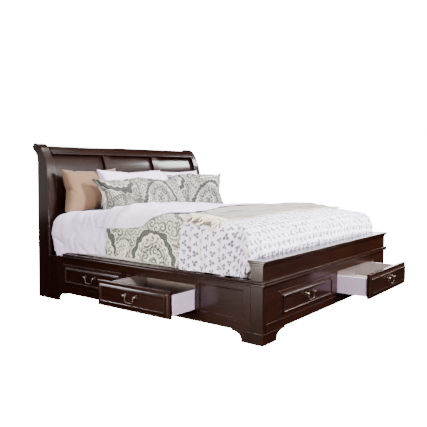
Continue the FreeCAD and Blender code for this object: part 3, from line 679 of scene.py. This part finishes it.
def sheet_folds(p, q, drop, side_share):
    skirt = ease(drop, 0.03, 0.15)
    gather = ripple(q / 0.055 + 0.7 * ripple(q / 0.2, drop / 0.15, 21), drop / 0.35, 22)
    slack = ripple(q / 0.16 + drop * 2.0, drop / 0.12, 23)
    top = ripple(p / 0.20 + q * 1.5, q / 0.09, 24)
    creases = np.abs(ripple(q / 0.13 + 0.8 * ripple(q / 0.2, drop / 0.2, 25), drop / 0.45, 26))
    hang = 0.008 * gather + 0.013 * slack - 0.036 * np.exp(-creases / 0.08)
    return skirt * hang + (1 - skirt) * 0.010 * top


def comforter_folds(p, q, drop, side_share):
    skirt = ease(drop, 0.05, 0.20)
    wide = ripple(q / 0.15 + 0.5 * ripple(q / 0.3, drop / 0.2, 31), drop / 0.5, 32)
    puff = ripple(p / 0.11, q / 0.11, 33)
    return skirt * 0.018 * wide + 0.008 * puff


def coverlet_folds(p, q, drop, side_share):
    skirt = ease(drop, 0.04, 0.18)
    phase = q / 0.062 + 0.9 * ripple(q / 0.25, drop / 0.3, 41)
    tight = 0.5 - 2.4 * np.abs(ripple(phase, drop / 0.7, 42))
    wide = ripple(q / 0.19, drop / 0.5, 43)
    corner = np.hypot(np.maximum(np.abs(p) - 0.80, 0), np.maximum(-0.80 - q, 0))
    near_foot = ease(-q, 0.70, 1.0) * ease(np.abs(p), 0.80, 1.0)
    turn = np.arctan2(np.maximum(-0.70 - q, -0.4), np.maximum(np.abs(p) - 0.70, 0.01))
    rays = np.cos(turn * 15.0 + 1.5 * ripple(p / 0.2, q / 0.2, 44)) * ease(corner, 0.08, 0.3)
    puff = ripple(p / 0.07, q / 0.07, 45)
    foot = ripple(p / 0.085, q / 0.4, 46) * ease(-q, 0.90, 1.15) * (1 - side_share)
    hang = skirt * (0.020 * tight + 0.018 * wide) * (1 - 0.4 * near_foot)
    return hang + 0.013 * near_foot * rays + 0.005 * puff + 0.010 * foot


SHEET_FOOT = 0.20            # the fitted sheet, from under the comforter to the head
COMFORTER_ENDS = (-0.50, 0.30)
COVERLET_HEAD = -0.465
TURNED_HEAD = 0.42

# fitted sheet
p, q = cover_grid(SHEET_FOOT, HEAD_START + HEAD_HANG)
points = spread(p, q, 0.0, sheet_folds)
drop_share = np.clip((np.abs(p) - SIDE_START) / SIDE_HANG, 0, 1)
belly = np.sin(np.pi * drop_share**0.9) ** 1.2 * ease(q, 0.45, 0.98)
points[..., 0] += np.sign(p) * 0.062 * belly
# beyond the mouldings the hem reaches down to the stile
points[..., 2] -= 0.034 * ease(points[..., 1], 0.812, 0.83) * ease(0.50 - points[..., 2], 0.0, 0.075)
points = inside_rails(points)
wide = np.abs(points[..., 0]) > 0.94
points[..., 1] = np.where(wide, np.minimum(points[..., 1], 1.004), points[..., 1])
sheet = cloth_mesh("fitted_sheet", points, p, q, 0.002, white)

# comforter
p, q = cover_grid(*COMFORTER_ENDS)
roll = 0.012 * np.sqrt(np.clip((COMFORTER_ENDS[1] - q) / 0.03, 0, 1)) + 0.004
points = spread(p, q, roll, comforter_folds)
comforter = cloth_mesh("comforter_cover", points, p, q, 0.010, paisley_cover)

# coverlet
p, q = cover_grid(FOOT_START - FOOT_HANG, COVERLET_HEAD)
roll = 0.008 * np.sqrt(np.clip((COVERLET_HEAD - q) / 0.02, 0, 1)) + 0.012
points = spread(p, q, roll, coverlet_folds)
coverlet = cloth_mesh("coverlet_cover", points, p, q, 0.008, sprig_cover)

# top sheet turned down over the comforter: its hem slants across the bed, and climbs over the near side
p, w = strip_grid(-1.092, 1.10, 2.19, 0.7)
climb = np.interp(p, (-1.09, -1.06, -0.87), (0.08, -0.09, -0.375))
hem = climb + 0.32 * ease(p, -0.9, 1.0) + 0.010 * ripple(p / 0.09, 0.5, 51)
q = TURNED_HEAD + (hem - TURNED_HEAD) * w


def turned_folds(p, q, drop, side_share):
    fold = 0.6 - 2.4 * np.abs(ripple((p * 0.6 + q) / 0.13, (p - q) / 0.4, 52))
    hem = ripple(p / 0.08, q / 0.3, 53) * ease(w, 0.6, 1.0)
    crest = np.exp(-(((p + 0.86) * 0.5 + (q - 0.02)) / 0.05) ** 2) * ease(-p, 0.4, 0.8)
    raised = np.maximum(0.022 * fold + 0.014 * hem, -0.001) + 0.030 * crest
    return raised * (0.3 + 0.7 * ease(1 - w, 0.0, 0.12))


lift = 0.003 + 0.027 * ease(0.36 - q, 0.0, 0.07)
points = spread(p, q, lift, turned_folds)
turned = cloth_mesh("turned_down_sheet", points, p, q, 0.003, white)

# throw: a slanting near part, then almost straight, with its foot edge along the coverlet
p, w = strip_grid(-0.985, 0.93, 1.92, 0.5)
head_edge = np.interp(p, (-0.96, -0.20, 0.93), (-0.50, -0.285, -0.34))
foot_edge = np.interp(p, (-0.97, -0.88), (-0.75, -0.794))
q = head_edge + (foot_edge - head_edge) * w + 0.008 * ripple(p / 0.12, w * 2, 61)


def throw_folds(p, q, drop, side_share):
    long_fold = ripple(p / 0.5 + q, q / 0.075 + 0.4 * ripple(p / 0.3, 0.2, 62), 63)
    cross = ripple(p / 0.10, q / 0.25, 64) * ease(-p, 0.5, 0.9)
    lip = np.exp(-((w - 0.93) / 0.05) ** 2)
    inside = ease(w, 0.0, 0.12) * ease(1 - w, 0.0, 0.1)
    return np.maximum(0.010 * long_fold + 0.008 * cross + 0.008 * lip, -0.003) * (0.25 + 0.75 * inside)


points = spread(p, q, 0.024 + 0.006 * ease(w, 0.0, 0.1) * ease(1 - w, 0.0, 0.1), throw_folds)
throw = cloth_mesh("throw_cloth", points, p, q, 0.004, taupe)


def tube(path, radius, sides=6):
    """Rings of points round a path, as one closed tube."""
    path = np.asarray(path)
    along = np.gradient(path, axis=0)
    along /= np.linalg.norm(along, axis=1, keepdims=True)
    ref = np.where(np.abs(along[:, 2:]) > 0.9, [[1.0, 0, 0]], [[0, 0, 1.0]])
    a = np.cross(along, ref)
    a /= np.linalg.norm(a, axis=1, keepdims=True)
    b = np.cross(along, a)
    turn = np.linspace(0, 2 * np.pi, sides, endpoint=False)
    rad = np.broadcast_to(np.asarray(radius, float), (len(path),))
    around = a[:, None] * np.cos(turn)[None, :, None] + b[:, None] * np.sin(turn)[None, :, None]
    rings = path[:, None] + rad[:, None, None] * around
    n = len(path)
    faces = []
    for i in range(n - 1):
        for j in range(sides):
            k = (j + 1) % sides
            faces.append((i * sides + j, i * sides + k, (i + 1) * sides + k, (i + 1) * sides + j))
    faces.append(tuple(range(sides))[::-1])
    faces.append(tuple((n - 1) * sides + j for j in range(sides)))
    return rings.reshape(-1, 3), faces


def merged(name, parts, material):
    """Several (verts, faces) pairs as one object."""
    faces, start = [], 0
    for v, f in parts:
        faces.extend(tuple(i + start for i in face) for face in f)
        start += len(v)
    verts = np.concatenate([v for v, _ in parts])
    obj = new_object(name, verts, faces, verts[:, :2], material)
    shade_smooth(obj)
    return obj


# curled fringe at the near end of the throw
rng = np.random.default_rng(11)
strands, count = [], 22
for i in range(count):
    q0 = -0.50 - 0.29 * (i + 0.8 * rng.random()) / count
    t = np.linspace(0, 1, 40)
    length, turns, phase = 0.07 + 0.06 * rng.random(), 5 + 6 * rng.random(), 6.3 * rng.random()
    pp = -0.88 - length * t + 0.022 * np.cos(turns * t * 1.3 + phase) * t
    qq = q0 + 0.030 * np.sin(turns * t + phase) * ease(t, 0, 0.4) + 0.03 * (rng.random() - 0.5) * t
    base, _, _ = laid(pp, qq)
    base[:, 2] += 0.036 + 0.012 * np.sin(turns * 1.6 * t + phase) * t
    base[:, 0] -= 0.024 * ease(-pp, 0.93, 1.0)
    strands.append(tube(base, 0.0085 * (1 - 0.4 * t) + 0.0008 * np.sin(t * 70), 7))
fringe = merged("throw_fringe", strands, cream)


def rounded_block(name, low, high, radius, material):
    bm = bmesh.new()
    bmesh.ops.create_cube(bm, size=1.0)
    size, mid = high - low, (high + low) / 2
    for v in bm.verts:
        v.co = Vector(mid + np.array(v.co) * size)
    bmesh.ops.bevel(bm, geom=bm.edges[:], offset=radius, segments=5, affect="EDGES", profile=0.5)
    bm.verts.index_update()
    verts = np.array([v.co[:] for v in bm.verts])
    faces = [[v.index for v in face.verts] for face in bm.faces]
    bm.free()
    obj = new_object(name, verts, faces, np.stack([verts[:, 0] + verts[:, 2], verts[:, 1]], -1), material)
    shade_smooth(obj)
    return obj


# mattress under the covers
low, high = [np.array(corner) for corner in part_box("mattress")]
mattress = rounded_block("mattress_core", low + (0.01, 0.012, 0), high - (0.01, 0.005, 0.004), 0.045, ticking)


# ------------------------------------------------------------------ pillows
CLOTH_FRAMES = 25
PILLOW_HALF = 0.075          # half thickness that a pillow comes close to


def inflate(obj):
    """Blow a sewn pillow up by cloth simulation."""
    mod = obj.modifiers.new("cloth", "CLOTH")
    s = mod.settings
    s.quality = 5
    s.mass = 0.25
    s.tension_stiffness = s.compression_stiffness = 18
    s.shear_stiffness = 6
    s.bending_stiffness = 0.15
    s.use_pressure = True
    s.uniform_pressure_force = 5.0
    s.effector_weights.gravity = 0.0
    scene = bpy.context.scene
    mod.point_cache.frame_start, mod.point_cache.frame_end = 1, 30
    scene.frame_start, scene.frame_end = 1, 30
    for f in range(1, CLOTH_FRAMES + 1):
        scene.frame_set(f)


def flange_object(name, loop, width, height, flange, seed, place, material):
    """A flat border round the seam of a pillow, where loop holds the seam's points."""
    away = loop - (0, 0, height / 2)
    away[:, 1] = 0
    square = np.sign(away) * (np.abs(away / (width / 2, 1.0, height / 2)) > 0.93)
    length = np.linalg.norm(square, axis=1, keepdims=True)
    push = np.where(length > 0, square, away / np.linalg.norm(away, axis=1, keepdims=True))
    count = len(loop)
    wave = 0.005 * np.sin(np.arange(count) * 0.9 + seed)
    verts = []
    for out, thick in ((0.0, 0.004), (flange * 0.5, 0.003), (flange, 0.0016)):
        ring = loop + push * out
        ring[:, 1] += wave * (out / flange)
        verts += [ring - (0, thick, 0), ring + (0, thick, 0)]
    verts = np.concatenate(verts)
    order = [0, 2, 4, 5, 3, 1]
    faces = []
    for i in range(count):
        j = (i + 1) % count
        for a, b in zip(order, order[1:] + order[:1]):
            faces.append((a * count + i, a * count + j, b * count + j, b * count + i))
    return new_object(name, place(verts), faces, verts[:, [0, 2]], material)


def pillow(name, width, height, material, seed, place, flange=0.0):
    """Two sewn layers blown up by cloth simulation, then stood up by place."""
    step = 0.0175
    x = np.linspace(-width / 2, width / 2, int(width / step) + 1)
    z = np.linspace(0, height, int(height / step) + 1)
    gx, gz = np.meshgrid(x, z, indexing="ij")
    u, v = gx / (width / 2), (gz - height / 2) / (height / 2)
    # seams pull in between the corners
    seam_x = gx * (1 - 0.030 * (1 - v**2) * np.abs(u))
    seam_z = (gz - height / 2) * (1 - 0.055 * (1 - u**2) * np.abs(v)) + height / 2
    puff = 0.040 * (1 - u**4) * (1 - v**4) + 0.003 * ripple(gx / 0.06, gz / 0.06, seed)
    puff[[0, -1], :] = 0
    puff[:, [0, -1]] = 0
    # the layers share the seam's points
    index = np.arange(gx.size).reshape(gx.shape)
    back_index = index.copy()
    inner = np.zeros_like(index, bool)
    inner[1:-1, 1:-1] = True
    back_index[inner] = gx.size + np.arange(inner.sum())
    front, back = [np.stack([seam_x, side * puff, seam_z], -1) for side in (-1, 1)]
    verts = np.concatenate([front.reshape(-1, 3), back[inner]])
    faces = np.concatenate([quads(index), quads(back_index)[:, ::-1]])
    flat = np.concatenate([np.stack([gx, gz], -1).reshape(-1, 2), np.stack([gx + 3.1, gz + 1.7], -1)[inner]])
    obj = new_object(name, verts, faces.tolist(), flat, material)
    inflate(obj)
    freeze(obj)
    shape = np.array([vert.co for vert in obj.data.vertices])
    shape[:, 1] = PILLOW_HALF * np.tanh(shape[:, 1] / PILLOW_HALF)
    obj.data.vertices.foreach_set("co", place(shape).astype(np.float32).ravel())
    if flange:
        seam = shape[np.concatenate([index[:, 0], index[-1, 1:], index[-2::-1, -1], index[0, -2:0:-1]])]
        edge = flange_object(name + "_flange", seam, width, height, flange, seed, place, material)
        with bpy.context.temp_override(active_object=obj, selected_editable_objects=[obj, edge]):
            bpy.ops.object.join()
    refine(obj)
    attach(obj, "bed")
    return obj


def standing(x, y, z, lean, yaw=0.0, roll=0.0):
    """Stand a pillow up: its lower edge at (x, y, z), leaning back, turned and rolled."""
    outline = []

    def place(points):
        v = points.copy()
        if not outline:
            columns = np.linspace(v[:, 0].min(), v[:, 0].max(), 25)
            near = [v[np.abs(v[:, 0] - c) < 0.04, 2] for c in columns]
            outline.extend((columns, np.array([z.min() for z in near]), np.array([z.max() for z in near])))
        columns, lows, highs = outline
        height = highs.max()
        share = np.clip(v[:, 2] / height, 0, 1)
        # the top edge is evened out a little, and the bottom edge sits flat
        v[:, 2] += (0.55 * (height - np.interp(v[:, 0], columns, highs)) * share**2
                    - np.interp(v[:, 0], columns, lows) * (1 - share))
        v[:, 1] *= 1 + 0.2 * np.clip(1 - v[:, 2] / (0.35 * height), 0, 1)
        turn = Matrix.Rotation(yaw, 3, "Z") @ Matrix.Rotation(-lean, 3, "X") @ Matrix.Rotation(roll, 3, "Y")
        v = v @ np.array(turn).T
        v += np.array([x, y, z])
        # what would sink into the bed is pressed flat on it
        ground = top_height(v[:, 0], v[:, 1]) + 0.006
        under = v[:, 2] < ground
        v[under, 2] = ground[under] + (v[under, 2] - ground[under]) * 0.05
        return v

    return place


tan_pillow = pillow("tan_pillow_soft", 0.66, 0.42, tan, 71, standing(-0.655, 0.885, 0.740, 0.10, roll=-0.015))
white_left = pillow("white_pillow_left", 0.86, 0.385, white, 72, standing(-0.220, 0.810, 0.764, 0.13))
white_right = pillow("white_pillow_right", 0.78, 0.45, white, 73, standing(0.490, 0.880, 0.700, 0.10))
sham_left = pillow("sham_left", 1.10, 0.325, paisley_sham, 74, standing(-0.215, 0.600, 0.772, 0.50), 0.038)
sham_right = pillow("sham_right", 0.70, 0.37, paisley_sham, 75, standing(0.590, 0.690, 0.725, 0.22, -0.32),
                    0.038)

for obj, slot_name in (
    (sheet, "white_cloth"),
    (comforter, "paisley_cloth"),
    (coverlet, "sprig_cloth"),
    (turned, "white_cloth"),
    (throw, "taupe_cloth"),
    (fringe, "taupe_cloth"),
    (mattress, "white_cloth"),
):
    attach(obj, "bed")
for obj, node in (
    (mattress, "mattress"),
    (comforter, "comforter"),
    (coverlet, "coverlet"),
    (turned, "top_sheet"),
    (throw, "throw"),
    (tan_pillow, "tan_pillow"),
    (white_left, "white_pillows"),
    (sham_left, "paisley_shams"),
):
    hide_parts(node)

# ------------------------------------------------------------------ stage, light and camera
GLOW = 20.0                  # what the camera sees of floor and background: plain white
floor_mesh = bpy.data.meshes.new("floor")
corners = [(x, y, -0.001) for x, y in ((-40, -40), (40, -40), (40, 40), (-40, 40))]
floor_mesh.from_pydata(corners, [], [(0, 1, 2, 3)])
floor = bpy.data.objects.new("floor", floor_mesh)
bpy.context.collection.objects.link(floor)
t = Tree("floor_paint")
spots = t.noise(t.coords("Object"), 3.0, 2.0)
t.finish(Base_Color=t.mix(spots, (0.0025, 0.0025, 0.0025), (0.003, 0.003, 0.003)), Roughness=0.95)
t.shader.inputs["Specular IOR Level"].default_value = 0.0
lamp = t.node("ShaderNodeEmission")
lamp.inputs["Strength"].default_value = GLOW
seen = t.node("ShaderNodeLightPath")
share = t.node("ShaderNodeMixShader")
x, y, _ = t.split(t.coords("Object"))
# painted shadow: under the bed the camera sees the dark floor instead of the white glow
shade = (1.0 - x.abs().step(0.74, 0.78)) * (1.0 - (y - 0.06).abs().step(1.02, 1.06))
t.links.new((Value(t, seen.outputs["Is Camera Ray"]) * (1.0 - shade)).socket, share.inputs[0])
t.links.new(t.shader.outputs[0], share.inputs[1])
t.links.new(lamp.outputs[0], share.inputs[2])
t.links.new(share.outputs[0], t.nodes["Material Output"].inputs["Surface"])
floor_mesh.materials.append(t.material)
floor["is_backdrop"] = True

world = bpy.data.worlds.new("studio")
bpy.context.scene.world = world
world.use_nodes = True
back = world.node_tree.nodes["Background"]
back.inputs["Color"].default_value = (0.93, 0.92, 1.0, 1.0)
back.inputs["Strength"].default_value = 0.012
glow = world.node_tree.nodes.new("ShaderNodeBackground")
glow.inputs["Strength"].default_value = GLOW
seen = world.node_tree.nodes.new("ShaderNodeLightPath")
choose = world.node_tree.nodes.new("ShaderNodeMixShader")
world.node_tree.links.new(seen.outputs["Is Camera Ray"], choose.inputs[0])
world.node_tree.links.new(back.outputs[0], choose.inputs[1])
world.node_tree.links.new(glow.outputs[0], choose.inputs[2])
world.node_tree.links.new(choose.outputs[0], world.node_tree.nodes["World Output"].inputs[0])


def softbox(name, place, target, size, power, colour=(1, 1, 1)):
    """A rectangular lamp at place, facing target."""
    data = bpy.data.lights.new(name, "AREA")
    data.shape = "RECTANGLE"
    data.size, data.size_y = size
    data.energy = power
    data.color = colour
    obj = bpy.data.objects.new(name, data)
    bpy.context.collection.objects.link(obj)
    obj.location = place
    obj.rotation_euler = (Vector(target) - Vector(place)).to_track_quat("-Z", "Y").to_euler()


softbox("key", (1.1, -3.9, 2.9), (0.0, -0.6, 0.7), (1.0, 1.0), 860)
softbox("rake", (-2.7, -4.6, 2.0), (-0.8, 0.0, 0.5), (0.7, 0.7), 330, (0.94, 0.90, 1.0))
softbox("top", (0.1, -0.9, 4.6), (0.2, -0.5, 0.0), (2.4, 2.4), 250)
softbox("left", (-2.9, -0.45, 0.45), (-1.05, -0.95, 0.28), (0.8, 0.5), 90, (1.0, 0.90, 0.82))
softbox("edge", (-2.5, 2.6, 2.6), (-1.1, -0.4, 0.4), (0.8, 0.8), 90, (0.95, 0.93, 1.0))
softbox("window", (-3.4, 4.5, 0.9), (-1.0, 1.1, 0.9), (1.0, 1.0), 2.5)
softbox("glint", (4.1, -1.05, 3.2), (0.7, 1.08, 1.2), (1.0, 0.9), 110)
softbox("rear", (2.6, 5.0, 3.2), (0.0, 0.5, 0.7), (1.6, 1.6), 240)
softbox("behind", (0.6, 5.6, 1.6), (0.0, 1.1, 0.6), (2.4, 1.8), 380)
softbox("far_side", (5.6, 0.6, 1.6), (1.1, 0.0, 0.3), (3.2, 2.0), 150)

CAMERA_PLACE = (-3.950, -3.018, 1.115)
CAMERA_YAW, CAMERA_PITCH = math.radians(52.48), math.radians(4.44)   # from +y to +x, and down
CAMERA_LENS = 46.5
camera_data = bpy.data.cameras.new("camera")
camera = bpy.data.objects.new("camera", camera_data)
bpy.context.collection.objects.link(camera)
bpy.context.scene.camera = camera
level = math.cos(CAMERA_PITCH)
forward = Vector((math.sin(CAMERA_YAW) * level, math.cos(CAMERA_YAW) * level, -math.sin(CAMERA_PITCH)))
camera.location = CAMERA_PLACE
camera.rotation_euler = forward.to_track_quat("-Z", "Y").to_euler()
camera_data.sensor_width = 36.0
camera_data.lens = CAMERA_LENS
camera_data.clip_start, camera_data.clip_end = 0.05, 200.0

low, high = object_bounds()
